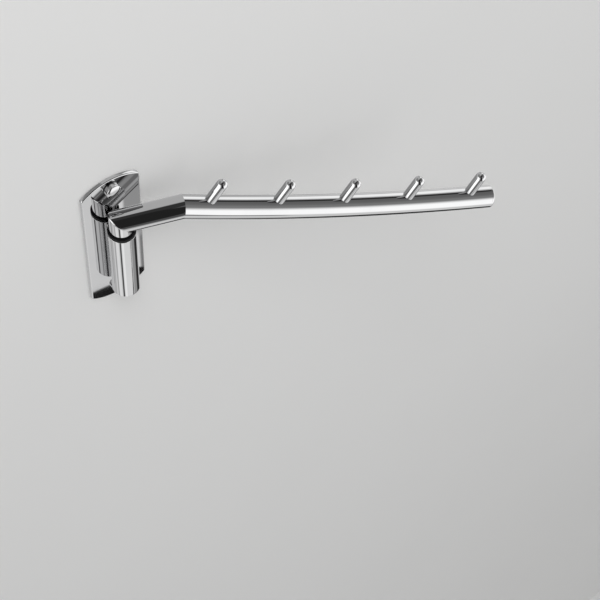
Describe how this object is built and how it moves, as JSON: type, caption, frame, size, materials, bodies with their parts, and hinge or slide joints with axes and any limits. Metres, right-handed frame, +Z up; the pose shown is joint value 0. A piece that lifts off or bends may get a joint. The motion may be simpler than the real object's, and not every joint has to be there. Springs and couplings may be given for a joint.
{
  "type": "folding wall hook",
  "caption": "Swing-arm wall hook of polished steel tube: an arched wall plate with an upright hinge barrel and a sloping arm with a row of short pegs that keep clothes hangers apart.",
  "frame": {"origin": "middle of the wall plate's back face, on the wall", "axes": "+Z up, +Y into the wall, +X to the right as seen from the room"},
  "size_m": [0.328, 0.1495, 0.143],
  "materials": {
    "polished_steel": "mirror-polished stainless steel",
    "screw_steel": "bright stainless steel screws and washers",
    "weld_steel": "dressed weld",
    "pin_steel": "turned steel",
    "black_nylon": "black nylon"
  },
  "bodies": {
    "bracket": {"wall_plate": "polished_steel", "upper_wall_screw": "screw_steel", "lower_wall_screw": "screw_steel", "upper_screw_washer": "screw_steel", "lower_screw_washer": "screw_steel", "hinge_barrel": "polished_steel", "barrel_weld": "weld_steel", "barrel_end_plug": "polished_steel", "upper_bush": "black_nylon", "lower_bush": "black_nylon"},
    "swing_arm": {"pivot_pin": "pin_steel", "pivot_post": "polished_steel", "arm_root": "polished_steel", "arm_tube": "polished_steel", "arm_end_cap": "polished_steel", "peg_1": "polished_steel", "peg_2": "polished_steel", "peg_3": "polished_steel", "peg_4": "polished_steel", "peg_5": "polished_steel"}
  },
  "joints": [
    {"name": "arm_swing", "type": "hinge", "parent": "bracket", "child": "swing_arm", "pos_m": [0, -0.0147, 0.0348], "axis": [0, 0, 1], "range_deg": [-162.3, 17.7]}
  ]
}
